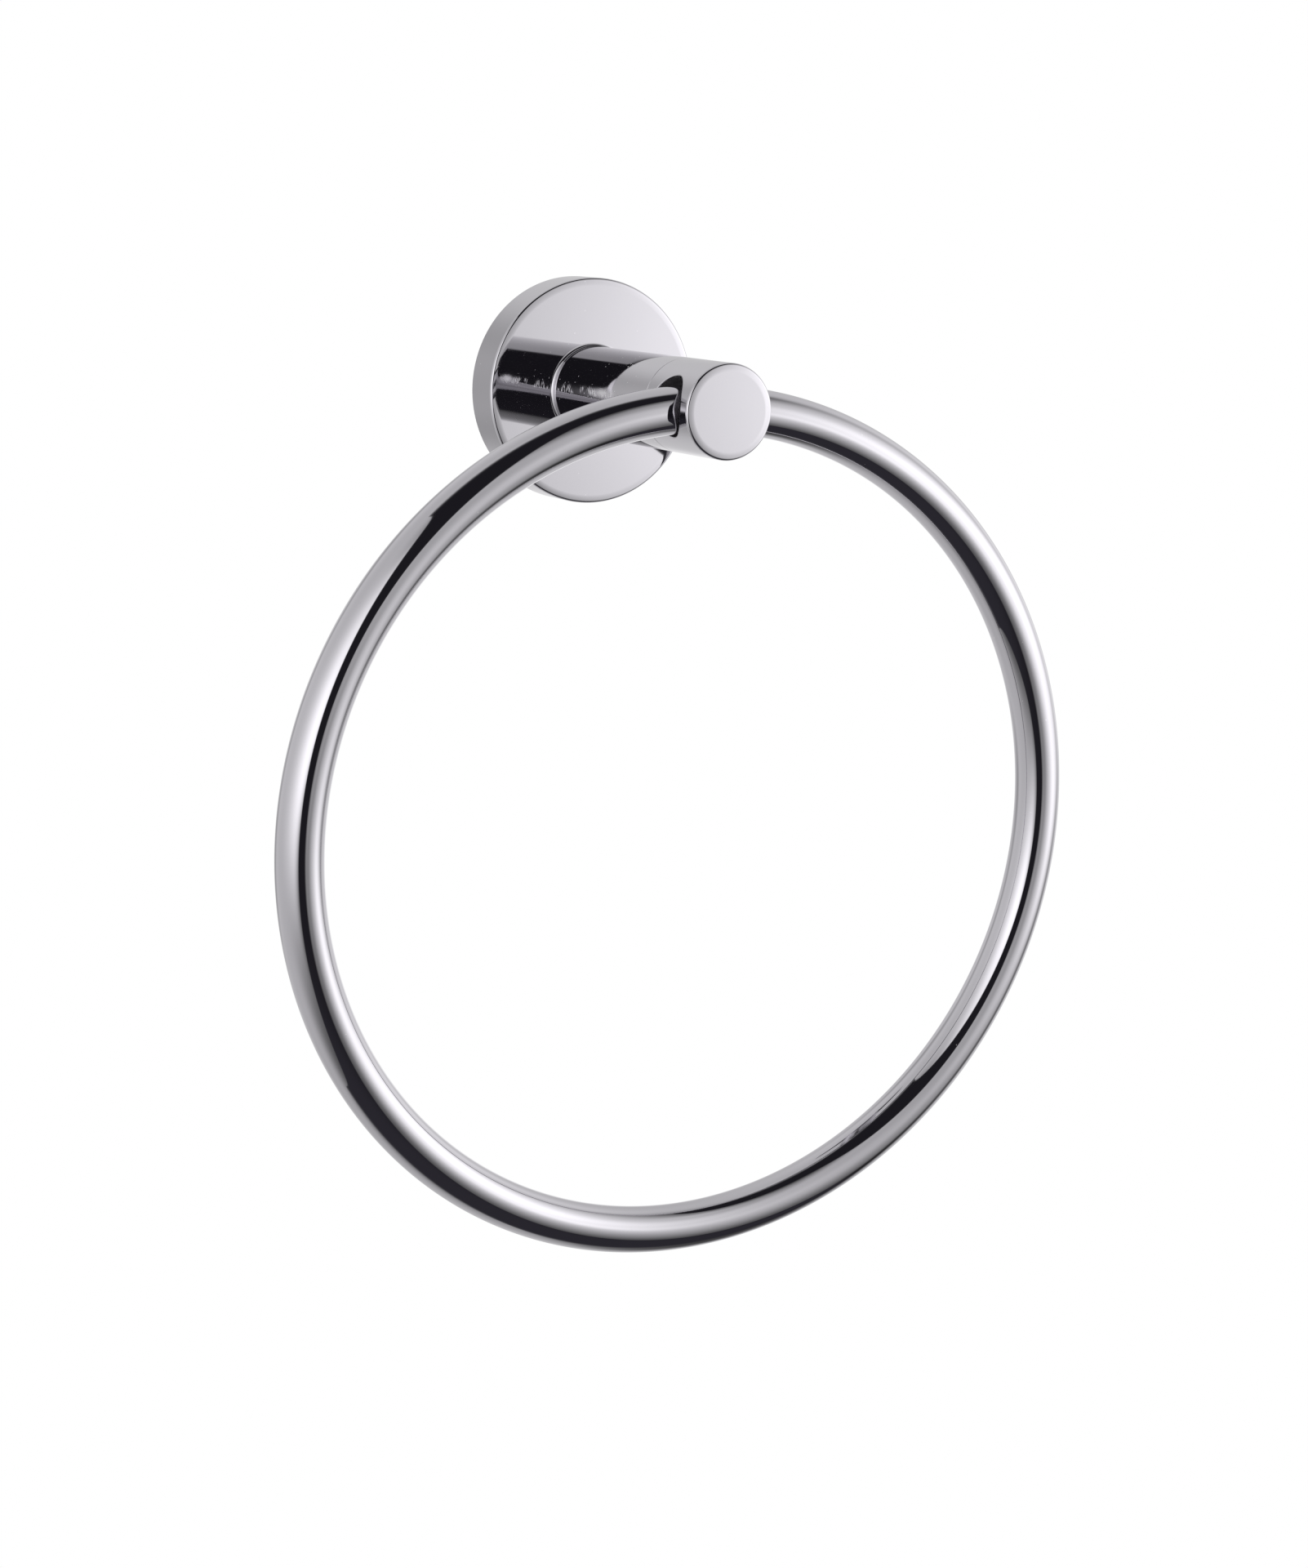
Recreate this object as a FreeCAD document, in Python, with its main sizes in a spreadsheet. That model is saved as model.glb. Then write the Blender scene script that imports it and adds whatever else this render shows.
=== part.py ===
import FreeCAD, Part
import math
import os

import Sketcher

# Towel ring, millimetres.
# The origin is the centre of the flange's back face, on the wall. +Z is up, the wall lies at +Y,
# the post stands out of the wall towards -Y and the ring hangs from the post's head.

# Driving sizes: name, value, what it is
SIZES = [
    ("flange_diameter", 50, "round flange that covers the wall bracket"),
    ("flange_depth", 10, "flange, wall to front face"),
    ("flange_face", 3, "flange, thickness of its front"),
    ("flange_wall", 2.5, "flange, thickness of its rim"),
    ("flange_edge", 0.6, "flange, rounding of its front edge"),
    ("shoulder_radius", 9, "flange and head, wide polished rounding just inside the front edge"),
    ("bracket_fit", 0.3, "gap between the bracket and the inside of the flange's rim"),
    ("bracket_thickness", 4.5, "wall bracket, thickness"),
    ("groove_depth", 1.6, "wall bracket, depth of the groove round its rim"),
    ("grub_setback", 2.2, "height of the groove and the grub screw above the wall"),
    ("wall_hole_diameter", 4.5, "wall bracket, screw holes"),
    ("countersink_diameter", 8.4, "wall bracket, countersink of a screw hole"),
    ("opening_clearance", 0.4, "gap round the plain washer in the bracket's opening"),
    ("grub_diameter", 4, "grub screw under the flange"),
    ("grub_recess", 0.2, "grub screw, end below the flange's rim"),
    ("grub_hex", 2, "grub screw, hexagon across flats"),
    ("grub_socket_depth", 1.8, "grub screw, depth of the hexagon"),
    ("grub_tip_gap", 0.05, "gap between the grub screw's point and the groove"),
    ("thread_clearance", 0.05, "radial gap left between a screw and its thread"),
    ("post_diameter", 20, "post and head, outside"),
    ("post_length", 44, "post, flange to the joint with the head"),
    ("foot_flare", 0.75, "post, hollow rounding where it meets the flange"),
    ("foot_land", 0.1, "post, thickness of the foot's thin edge"),
    ("joint_edge", 0.15, "small bevels on both sides of the joint between post and head"),
    ("register_diameter", 10, "post, spigot that centres it in the flange"),
    ("register_shortfall", 0.4, "how far the spigot stays short of the flange's inner face"),
    ("screw_diameter", 6, "post screw"),
    ("screw_length", 12, "post screw, under its head"),
    ("screw_head_diameter", 10, "post screw, head"),
    ("screw_head_height", 3, "post screw, head"),
    ("screw_hex", 4, "post screw, hexagon across flats"),
    ("screw_socket_depth", 2, "post screw, depth of the hexagon"),
    ("screw_hole_spare", 3, "post, thread left beyond the end of the post screw"),
    ("plain_washer_diameter", 14, "plain washer, outside"),
    ("plain_washer_thickness", 1, "plain washer"),
    ("washer_clearance", 0.2, "radial gap between the screw and both washers"),
    ("lock_washer_diameter", 10.5, "split lock washer, outside"),
    ("lock_washer_thickness", 1.2, "split lock washer"),
    ("lock_washer_split", 12, "split lock washer, opening in degrees"),
    ("head_length", 19, "head, joint to front face"),
    ("head_edge", 0.6, "head, rounding of its front edge"),
    ("spigot_diameter", 10, "head, threaded spigot that goes into the post"),
    ("spigot_length", 7.5, "head, threaded spigot"),
    ("spigot_bevel", 0.5, "head, bevel on the spigot's end"),
    ("spigot_end_gap", 1, "space between the spigot's end and the bottom of its hole"),
    ("bar_diameter", 10, "ring, round bar"),
    ("ring_diameter", 178, "ring, to the middle of the bar"),
    ("bore_play", 2.5, "how much wider the head's bore is than the bar"),
    ("bore_rim", 0.4, "head, rounding of the bore's rims"),
    ("ring_rest_gap", 0.3, "gap left under the hanging bar at the mouth of the bore"),
    ("bar_end_gap", 0.1, "ring, hairline joint between the bar's two ends"),
    ("pin_diameter", 4, "pin that joins the bar's ends"),
    ("pin_length", 16, "pin that joins the bar's ends"),
    ("pin_clearance", 0.05, "radial gap round the joining pin"),
    ("pin_end_gap", 0.5, "space at each end of the joining pin"),
]
DRILL_POINT = 0.6  # depth of a drill's point for each unit of its radius
HEX_CORNER = 1 / math.sqrt(3)  # centre to corner for each unit across the flats
SHOULDER_ANGLE = math.radians(8)  # how far the front face falls off before its edge turns


class Length:
    """A size that carries both its number and the expression that ties it to the sheet."""

    def __init__(self, number, text):
        self.number, self.text = number, text

    def __add__(self, other):
        other = as_length(other)
        return Length(self.number + other.number, f"({self.text} + {other.text})")

    def __sub__(self, other):
        other = as_length(other)
        return Length(self.number - other.number, f"({self.text} - {other.text})")

    def __mul__(self, other):
        other = as_length(other)
        return Length(self.number * other.number, f"({self.text} * {other.text})")

    def __truediv__(self, other):
        other = as_length(other)
        return Length(self.number / other.number, f"({self.text} / {other.text})")

    def __neg__(self):
        return Length(-self.number, f"(-1 * {self.text})")

    __radd__ = __add__
    __rmul__ = __mul__

    def __rsub__(self, other):
        return as_length(other) - self


def as_length(value):
    return value if isinstance(value, Length) else Length(value, f"{value:.10g}")


def root(value):
    return Length(math.sqrt(value.number), f"sqrt({value.text})")


def make_sheet(doc):
    """Writes the driving sizes to the sheet and returns each one as a Length, by name."""
    sheet = doc.addObject("Spreadsheet::Sheet", "sizes")
    lengths = {}
    for line, (name, value, meaning) in enumerate(SIZES, start=1):
        sheet.set(f"A{line}", meaning)
        sheet.set(f"B{line}", str(value))
        sheet.setAlias(f"B{line}", name)
        lengths[name] = Length(value, f"sizes.{name}")
    doc.recompute()
    return lengths


def new_body(doc, label, **place):
    """A body whose Placement is tied to the sheet along the axes that are given."""
    body = doc.addObject("PartDesign::Body", label)
    body.Label = label
    for axis, length in place.items():
        body.setExpression(f"Placement.Base.{axis}", length.text)
    return body


def new_sketch(body, name, plane, offset=None):
    """A sketch on one of the body's own planes, moved along that plane's normal by offset."""
    sketch = body.newObject("Sketcher::SketchObject", name)
    origin_plane = next(f for f in body.Origin.OriginFeatures if f.Role == plane)
    sketch.AttachmentSupport = [(origin_plane, "")]
    sketch.MapMode = "FlatFace"
    if offset is not None:
        sketch.setExpression("AttachmentOffset.Base.z", offset.text)
    return sketch


def pin_point(sketch, element, end, across, along):
    """Ties one point of the sketch to its two distances from the sketch's origin."""
    for kind, axis, length in (("DistanceX", -2, across), ("DistanceY", -1, along)):
        if length.number == 0:
            sketch.addConstraint(Sketcher.Constraint("PointOnObject", element, end, axis))
        else:
            index = sketch.addConstraint(
                Sketcher.Constraint(kind, -1, 1, element, end, length.number)
            )
            sketch.setExpression(f"Constraints[{index}]", length.text)


def outline(sketch, corners):
    """Draws a closed outline. A corner is (across, along), or (across, along, centre, radius)
    where an arc about that centre leads on to the next corner."""
    points = []
    for corner in corners:
        across, along = as_length(corner[0]), as_length(corner[1])
        points.append((across, along, FreeCAD.Vector(across.number, along.number, 0)))
    ends = []
    for index, corner in enumerate(corners):
        start, finish = points[index][2], points[(index + 1) % len(points)][2]
        if len(corner) == 2:
            element = sketch.addGeometry(Part.LineSegment(start, finish), False)
            ends.append((element, 1, 2))
            continue
        centre = FreeCAD.Vector(as_length(corner[2][0]).number, as_length(corner[2][1]).number, 0)
        radius = as_length(corner[3])
        circle = Part.Circle(centre, FreeCAD.Vector(0, 0, 1), radius.number)
        turns_left = (start - centre).cross(finish - centre).z > 0
        first, last = (start, finish) if turns_left else (finish, start)
        angles = [math.atan2(p.y - centre.y, p.x - centre.x) for p in (first, last)]
        element = sketch.addGeometry(Part.ArcOfCircle(circle, *angles), False)
        ends.append((element, 1, 2) if turns_left else (element, 2, 1))
        index = sketch.addConstraint(Sketcher.Constraint("Radius", element, radius.number))
        sketch.setExpression(f"Constraints[{index}]", radius.text)
    for index, (element, start, finish) in enumerate(ends):
        following = ends[(index + 1) % len(ends)]
        sketch.addConstraint(
            Sketcher.Constraint("Coincident", element, finish, following[0], following[1])
        )
        pin_point(sketch, element, start, points[index][0], points[index][1])


def circle_at(sketch, across, along, radius):
    across, along, radius = as_length(across), as_length(along), as_length(radius)
    centre = FreeCAD.Vector(across.number, along.number, 0)
    circle = Part.Circle(centre, FreeCAD.Vector(0, 0, 1), radius.number)
    element = sketch.addGeometry(circle, False)
    index = sketch.addConstraint(Sketcher.Constraint("Radius", element, radius.number))
    sketch.setExpression(f"Constraints[{index}]", radius.text)
    pin_point(sketch, element, 3, across, along)


def hexagon(sketch, across_flats):
    """A hexagon about the sketch's origin, two of its flats upright."""
    half = across_flats / 2
    corner = across_flats * HEX_CORNER
    outline(
        sketch,
        [
            (half, corner / 2),
            (0, corner),
            (-half, corner / 2),
            (-half, -(corner / 2)),
            (0, -corner),
            (half, -(corner / 2)),
        ],
    )


def revolve(body, sketch, axis="V_Axis", angle=360, both_ways=False):
    feature = body.newObject("PartDesign::Revolution", sketch.Name + "_turned")
    feature.Profile = sketch
    feature.ReferenceAxis = (sketch, [axis])
    if isinstance(angle, Length):
        feature.Angle = angle.number
        feature.setExpression("Angle", angle.text)
    else:
        feature.Angle = angle
    feature.Midplane = both_ways
    return feature


def cut(body, sketch, length=None, both_ways=False):
    """Cuts the sketch's shape out of the body, right through unless a length is given."""
    feature = body.newObject("PartDesign::Pocket", sketch.Name + "_cut")
    feature.Profile = sketch
    feature.SideType = "Symmetric" if both_ways else "One side"
    if length is None:
        feature.Type = "ThroughAll"
    else:
        feature.Type = "Length"
        feature.Length = length.number
        feature.setExpression("Length", length.text)
    return feature


def edges_where(feature, test):
    """Names of the feature's edges all of whose sampled points pass the test."""
    feature.Document.recompute()
    names = []
    for index, edge in enumerate(feature.Shape.Edges, start=1):
        if all(test(point) for point in edge.discretize(9)):
            names.append(f"Edge{index}")
    return names


def bevel(body, feature, edges, size):
    """A bevel along the named edges."""
    bevelled = body.newObject("PartDesign::Chamfer", f"{feature.Name}_bevel")
    bevelled.Base = (feature, edges)
    bevelled.Size = size.number
    bevelled.setExpression("Size", size.text)


def rounding(body, feature, edges, size):
    """A rounding along the named edges."""
    rounded = body.newObject("PartDesign::Fillet", f"{feature.Name}_rounded")
    rounded.Base = (feature, edges)
    rounded.Radius = size.number
    rounded.setExpression("Radius", size.text)


def soft_edge(outside, face, edge, shoulder):
    """Corners of a turned part's polished front edge. From the side, a tight arc comes to within
    the shoulder angle of the face, and a wide arc carries it on to the flat."""
    sine, cosine = math.sin(SHOULDER_ANGLE), math.cos(SHOULDER_ANGLE)
    wider = shoulder - edge
    tight = (outside - edge, face + shoulder - wider * cosine)
    wide = (tight[0] - wider * sine, face + shoulder)
    meeting = (tight[0] + edge * sine, tight[1] - edge * cosine)
    return [(outside, tight[1], tight, edge), (*meeting, wide, shoulder), (wide[0], face)]


def near(value, target):
    return abs(value - target) < 1e-4


def make_wall_bracket(doc, s):
    """Round plate on the wall: a groove round its rim for the grub screw, a large middle opening
    for the head of the post screw, and two countersunk holes on a level line."""
    body = new_body(doc, "wall_bracket")
    rim = s["flange_diameter"] / 2 - s["flange_wall"] - s["bracket_fit"]
    opening = s["plain_washer_diameter"] / 2 + s["opening_clearance"]
    thickness, depth, height = s["bracket_thickness"], s["groove_depth"], s["grub_setback"]
    plate = new_sketch(body, "bracket_section", "XY_Plane")
    outline(
        plate,
        [
            (opening, 0),
            (rim, 0),
            (rim, depth - height),
            (rim - depth, -height),
            (rim, -(height + depth)),
            (rim, -thickness),
            (opening, -thickness),
        ],
    )
    revolve(body, plate)
    holes = new_sketch(body, "bracket_holes", "XZ_Plane")
    # Each hole lies halfway between the opening and the floor of the groove.
    offset = (opening + (rim - depth)) / 2
    circle_at(holes, offset, 0, s["wall_hole_diameter"] / 2)
    circle_at(holes, -offset, 0, s["wall_hole_diameter"] / 2)
    drilled = cut(body, holes, both_ways=True)

    def front_rim(point):
        reach = math.hypot(abs(point.x) - offset.number, point.z)
        return near(point.y, -thickness.number) and near(reach, s["wall_hole_diameter"].number / 2)

    countersink = (s["countersink_diameter"] - s["wall_hole_diameter"]) / 2
    bevel(body, drilled, edges_where(drilled, front_rim), countersink)
    return body


def make_flange(doc, s):
    """Cup that slips over the wall bracket, with a rounded front edge, a middle hole for the
    post's spigot and a threaded hole through the bottom of its rim."""
    body = new_body(doc, "flange")
    outer, edge, depth = s["flange_diameter"] / 2, s["flange_edge"], s["flange_depth"]
    inner, hollow = outer - s["flange_wall"], depth - s["flange_face"]
    hole = s["register_diameter"] / 2 + s["thread_clearance"]
    cup = new_sketch(body, "flange_section", "XY_Plane")
    outline(
        cup,
        [
            (inner, 0),
            (outer, 0),
            *soft_edge(outer, -depth, edge, s["shoulder_radius"]),
            (hole, -depth),
            (hole, -hollow),
            (inner, -hollow),
        ],
    )
    revolve(body, cup)
    thread = new_sketch(body, "grub_hole", "XY_Plane")
    circle_at(thread, 0, -s["grub_setback"], s["grub_diameter"] / 2 + s["thread_clearance"])
    cut(body, thread)
    return body


def make_grub_screw(doc, s):
    """Headless screw with a cone point. It stands upright under the flange, its point in the
    bracket's groove, and pulls the flange onto the bracket."""
    outer = s["flange_diameter"] / 2
    groove = outer - s["flange_wall"] - s["bracket_fit"] - s["groove_depth"]
    start = outer - s["grub_recess"]
    body = new_body(doc, "grub_screw", y=-s["grub_setback"], z=-start)
    radius = s["grub_diameter"] / 2
    # The cone has the groove's own slope, so its point stops short of the groove's floor.
    point = start - groove - s["grub_tip_gap"]
    flat = radius / 4
    section = new_sketch(body, "grub_section", "XZ_Plane")
    outline(
        section,
        [(0, 0), (radius, 0), (radius, point - radius), (flat, point - flat), (0, point - flat)],
    )
    revolve(body, section)
    socket = new_sketch(body, "grub_socket", "XY_Plane", offset=s["grub_socket_depth"])
    hexagon(socket, s["grub_hex"])
    cut(body, socket)
    return body


def make_plain_washer(doc, s):
    """Flat washer on the flange's inner face. It bridges the hole that the post's spigot fills."""
    body = new_body(doc, "plain_washer", y=s["flange_face"] - s["flange_depth"])
    bore = s["screw_diameter"] / 2 + s["washer_clearance"]
    outer, thickness = s["plain_washer_diameter"] / 2, s["plain_washer_thickness"]
    section = new_sketch(body, "plain_washer_section", "XY_Plane")
    outline(section, [(bore, 0), (outer, 0), (outer, thickness), (bore, thickness)])
    revolve(body, section)
    return body


def make_lock_washer(doc, s):
    """Split spring washer, pressed flat between the plain washer and the screw's head."""
    seat = s["flange_face"] + s["plain_washer_thickness"] - s["flange_depth"]
    body = new_body(doc, "lock_washer", y=seat)
    bore = s["screw_diameter"] / 2 + s["washer_clearance"]
    outer, thickness = s["lock_washer_diameter"] / 2, s["lock_washer_thickness"]
    section = new_sketch(body, "lock_washer_section", "XY_Plane")
    outline(section, [(bore, 0), (outer, 0), (outer, thickness), (bore, thickness)])
    revolve(body, section, angle=360 - s["lock_washer_split"])
    return body


def make_post_screw(doc, s):
    """Socket screw that pulls the post onto the flange from behind."""
    washers = s["plain_washer_thickness"] + s["lock_washer_thickness"]
    body = new_body(doc, "post_screw", y=s["flange_face"] + washers - s["flange_depth"])
    shank, head = s["screw_diameter"] / 2, s["screw_head_diameter"] / 2
    height, length = s["screw_head_height"], s["screw_length"]
    corner = shank / 4
    section = new_sketch(body, "post_screw_section", "XY_Plane")
    outline(
        section,
        [
            (0, height),
            (head - corner / 2, height),
            (head, height - corner / 2),
            (head, 0),
            (shank, 0),
            (shank, corner - length),
            (shank - corner, -length),
            (0, -length),
        ],
    )
    revolve(body, section)
    depth = s["screw_socket_depth"]
    socket = new_sketch(body, "post_screw_socket", "XZ_Plane", offset=depth - height)
    hexagon(socket, s["screw_hex"])
    cut(body, socket)
    return body


def make_post(doc, s):
    """Turned post: a spigot that centres it in the flange, a foot that flares onto the flange,
    and a threaded blind hole in each end."""
    body = new_body(doc, "post", y=-s["flange_depth"])
    radius, flare, land = s["post_diameter"] / 2, s["foot_flare"], s["foot_land"]
    foot, length, edge = radius + flare, s["post_length"], s["joint_edge"]
    register = s["register_diameter"] / 2
    register_end = s["flange_face"] - s["register_shortfall"]
    back_hole = s["screw_diameter"] / 2 + s["thread_clearance"]
    washers = s["plain_washer_thickness"] + s["lock_washer_thickness"]
    back_floor = s["flange_face"] + washers - s["screw_length"] - s["screw_hole_spare"]
    front_hole = s["spigot_diameter"] / 2 + s["thread_clearance"]
    front_floor = s["spigot_length"] + s["spigot_end_gap"] - length
    section = new_sketch(body, "post_section", "XY_Plane")
    outline(
        section,
        [
            (0, back_floor - back_hole * DRILL_POINT),
            (back_hole, back_floor),
            (back_hole, register_end),
            (register, register_end),
            (register, 0),
            (foot, 0),
            (foot, -land, (foot, -(land + flare)), flare),
            (radius, -(land + flare)),
            (radius, edge - length),
            (radius - edge, -length),
            (front_hole, -length),
            (front_hole, front_floor),
            (0, front_floor + front_hole * DRILL_POINT),
        ],
    )
    revolve(body, section)
    return body


def make_head(doc, s):
    """Turned head that screws into the post, with a round bore across it for the ring. The bore's
    rims are rounded."""
    body = new_body(doc, "head", y=-(s["flange_depth"] + s["post_length"]))
    radius, length = s["post_diameter"] / 2, s["head_length"]
    front, joint = s["head_edge"], s["joint_edge"]
    spigot, reach, corner = s["spigot_diameter"] / 2, s["spigot_length"], s["spigot_bevel"]
    section = new_sketch(body, "head_section", "XY_Plane")
    outline(
        section,
        [
            (0, reach),
            (spigot - corner, reach),
            (spigot, reach - corner),
            (spigot, 0),
            (radius - joint, 0),
            (radius, -joint),
            *soft_edge(radius, -length, front, s["shoulder_radius"]),
            (0, -length),
        ],
    )
    revolve(body, section)
    bore = new_sketch(body, "ring_bore", "YZ_Plane")
    rise, size = bore_rise(s), (s["bar_diameter"] + s["bore_play"]) / 2
    circle_at(bore, -(length / 2), rise, size)
    drilled = cut(body, bore, both_ways=True)

    def rim(point):
        from_bore = math.hypot(point.y + length.number / 2, point.z - rise.number)
        from_axis = math.hypot(point.x, point.z)
        return near(from_bore, size.number) and near(from_axis, radius.number)

    rounding(body, drilled, edges_where(drilled, rim), s["bore_rim"])
    return body


def bore_rise(s):
    """How far the bore lies above the head's axis, so that the ring hangs with the middle of its
    bar on that axis. The bar curves down to both sides and lies on the bore's rim, with a small
    gap that the rim's rounding widens a little. The reach is where the bar's underside leaves the
    head's round side."""
    bore, bar = (s["bar_diameter"] + s["bore_play"]) / 2, s["bar_diameter"] / 2
    post, ring = s["post_diameter"] / 2, s["ring_diameter"] / 2
    reach_squared = post * post - bar * bar
    inside = ring - bar
    underside = ring - root(inside * inside - reach_squared)
    return bore - underside - s["ring_rest_gap"]


def make_ring(doc, s):
    """Round bar bent to a circle. Its two ends meet inside the head, where a pin joins them."""
    middle = s["flange_depth"] + s["post_length"] + s["head_length"] / 2
    radius, bar = s["ring_diameter"] / 2, s["bar_diameter"] / 2
    body = new_body(doc, "ring", y=-middle, z=-radius)
    section = new_sketch(body, "bar_section", "YZ_Plane")
    circle_at(section, 0, -radius, bar)
    gap_in_degrees = s["bar_end_gap"] / radius * (180 / math.pi)
    revolve(body, section, axis="H_Axis", angle=360 - gap_in_degrees, both_ways=True)
    socket = new_sketch(body, "pin_socket", "YZ_Plane")
    circle_at(socket, 0, radius, s["pin_diameter"] / 2 + s["pin_clearance"])
    cut(body, socket, length=s["pin_length"] + s["pin_end_gap"] * 2, both_ways=True)
    return body


def make_joining_pin(doc, s):
    """Plain pin in the drilled ends of the bar."""
    middle = s["flange_depth"] + s["post_length"] + s["head_length"] / 2
    body = new_body(doc, "ring_joining_pin", y=-middle)
    radius, half = s["pin_diameter"] / 2, s["pin_length"] / 2
    corner = radius / 5
    section = new_sketch(body, "pin_section", "XY_Plane")
    outline(
        section,
        [
            (-half, 0),
            (half, 0),
            (half, radius - corner),
            (half - corner, radius),
            (corner - half, radius),
            (-half, radius - corner),
        ],
    )
    revolve(body, section, axis="H_Axis")
    return body


PIECES = [
    make_wall_bracket,
    make_flange,
    make_grub_screw,
    make_plain_washer,
    make_lock_washer,
    make_post_screw,
    make_post,
    make_head,
    make_ring,
    make_joining_pin,
]


def check(doc, bodies):
    """Stops if any object failed or any piece isn't one valid solid."""
    for item in doc.Objects:
        if {"Invalid", "Error"} & set(item.State):
            raise RuntimeError(f"{item.Label} failed: {item.State}")
    for body in bodies:
        shape = body.Shape
        if shape.isNull() or not shape.isValid() or len(shape.Solids) != 1:
            raise RuntimeError(f"{body.Label} isn't one valid solid")


def main():
    doc = FreeCAD.newDocument("towel_ring")
    lengths = make_sheet(doc)
    bodies = [make(doc, lengths) for make in PIECES]
    doc.recompute()
    check(doc, bodies)
    os.makedirs("parts", exist_ok=True)
    for body in bodies:
        body.Shape.exportStep(f"parts/{body.Label}.step")
        print(f"{body.Label}: {body.Shape.Volume:.1f} mm3, {body.Shape.BoundBox}")


main()
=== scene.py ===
import math

import bpy
import numpy as np
from mathutils import Matrix, Vector


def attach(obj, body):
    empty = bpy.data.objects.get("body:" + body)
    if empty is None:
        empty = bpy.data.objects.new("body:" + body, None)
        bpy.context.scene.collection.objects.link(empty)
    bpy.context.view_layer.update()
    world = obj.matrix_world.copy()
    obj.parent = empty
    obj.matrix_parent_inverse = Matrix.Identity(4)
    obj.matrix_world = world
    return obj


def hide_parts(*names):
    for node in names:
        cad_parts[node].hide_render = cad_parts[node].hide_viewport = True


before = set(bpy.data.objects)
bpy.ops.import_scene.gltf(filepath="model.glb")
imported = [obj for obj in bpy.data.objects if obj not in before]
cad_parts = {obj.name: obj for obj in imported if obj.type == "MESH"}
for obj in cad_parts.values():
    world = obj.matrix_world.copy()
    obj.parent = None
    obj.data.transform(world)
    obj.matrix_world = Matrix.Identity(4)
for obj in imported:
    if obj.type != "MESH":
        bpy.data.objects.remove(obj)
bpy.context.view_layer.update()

# Towel ring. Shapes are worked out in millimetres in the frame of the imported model: the origin on
# the wall in the middle of the flange, +Z up, the post towards -Y. Meshes are in metres.

FLANGE_RADIUS, FLANGE_DEPTH, FLANGE_FACE, FLANGE_WALL = 25.0, 10.0, 3.0, 2.5
EDGE, SHOULDER_RADIUS, SHOULDER_ANGLE = 0.6, 9.0, math.radians(8)
GRUB_HOLE_RADIUS, GRUB_SETBACK = 2.05, 2.2
POST_RADIUS, POST_LENGTH, FOOT_FLARE, FOOT_LAND, JOINT_EDGE = 10.0, 44.0, 0.75, 0.1, 0.15
REGISTER_RADIUS, REGISTER_END, THREAD_GAP = 5.0, -7.4, 0.05
SCREW_RADIUS, BACK_FLOOR, FRONT_FLOOR, DRILL_POINT = 3.0, -19.8, -45.5, 0.6
HEAD_LENGTH, SPIGOT_RADIUS, SPIGOT_LENGTH, SPIGOT_BEVEL = 19.0, 5.0, 7.5, 0.5
BORE_RADIUS, BORE_RISE, RIM_ROUNDING = 6.25, 0.5024, 0.4
RING_RADIUS, BAR_RADIUS, BAR_END_GAP = 89.0, 5.0, 0.1
PIN_HOLE_RADIUS, PIN_HOLE_DEPTH = 2.05, 8.5
JOINT_Y = -(FLANGE_DEPTH + POST_LENGTH)
FRONT_Y = JOINT_Y - HEAD_LENGTH
BORE_Y = JOINT_Y - HEAD_LENGTH / 2
QUARTER, HALF, FULL = math.pi / 2, math.pi, 2 * math.pi
DEGREES = 180 / HALF
# Points are welded by the cells of a fine lattice, which is moved off the round places.
WELD, OFF_LATTICE = 1e-4, 3.7e-5


class Skin:
    """Grids of points and normals that are welded into one closed mesh. Each grid is a smooth
    surface of two parameters, and the normals keep the edge between two grids as crisp as it is."""

    def __init__(self):
        self.points, self.normals, self.quads, self.count = [], [], [], 0

    def add(self, points, normals):
        """Joins each point to its neighbours in the next row and column, with the faces turned the
        way that the normals point."""
        rows, columns = points.shape[:2]
        index = np.arange(rows * columns).reshape(rows, columns)
        quads = np.stack([index[:-1, :-1], index[1:, :-1], index[1:, 1:], index[:-1, 1:]], -1)
        quads = quads.reshape(-1, 4)
        flat, flat_normals = points.reshape(-1, 3), normals.reshape(-1, 3)
        corner = flat[quads]
        facing = np.cross(corner[:, 2] - corner[:, 0], corner[:, 3] - corner[:, 1])
        turned = (facing * flat_normals[quads].sum(1)).sum(-1) < 0
        quads[turned] = quads[turned][:, ::-1]
        self.points.append(flat)
        self.normals.append(flat_normals)
        self.quads.append(quads + self.count)
        self.count += len(flat)

    def piece(self, name, finish, body, node):
        """Welds points that lie within a tenth of a micrometre, drops the corners that a pole
        doubles, and makes the object, which rides on its body and stands for its CAD node."""
        points, normals = np.concatenate(self.points), np.concatenate(self.normals)
        quads = np.concatenate(self.quads)
        places = np.round((points + OFF_LATTICE) / WELD).astype(np.int64)
        _, first, weld = np.unique(places, axis=0, return_index=True, return_inverse=True)
        weld = weld.reshape(-1)
        corners = weld[quads]
        kept = corners != np.roll(corners, 1, axis=1)
        faces = kept.sum(1) >= 3
        kept &= faces[:, None]
        sizes = kept.sum(1)[faces]
        loops = corners[kept]
        mesh = bpy.data.meshes.new(name)
        mesh.vertices.add(len(first))
        mesh.vertices.foreach_set("co", (points[first] / 1000).astype(np.float32).ravel())
        mesh.loops.add(len(loops))
        mesh.loops.foreach_set("vertex_index", loops.astype(np.int32))
        mesh.polygons.add(len(sizes))
        mesh.polygons.foreach_set("loop_start", (np.cumsum(sizes) - sizes).astype(np.int32))
        mesh.polygons.foreach_set("use_smooth", np.ones(len(sizes), bool))
        mesh.update(calc_edges=True)
        mesh.validate()
        mesh.normals_split_custom_set(normals[quads[kept]].tolist())
        mesh.materials.append(finish)
        made = bpy.data.objects.new(name, mesh)
        bpy.context.collection.objects.link(made)
        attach(made, body)
        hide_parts(node)
        return made


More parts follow.
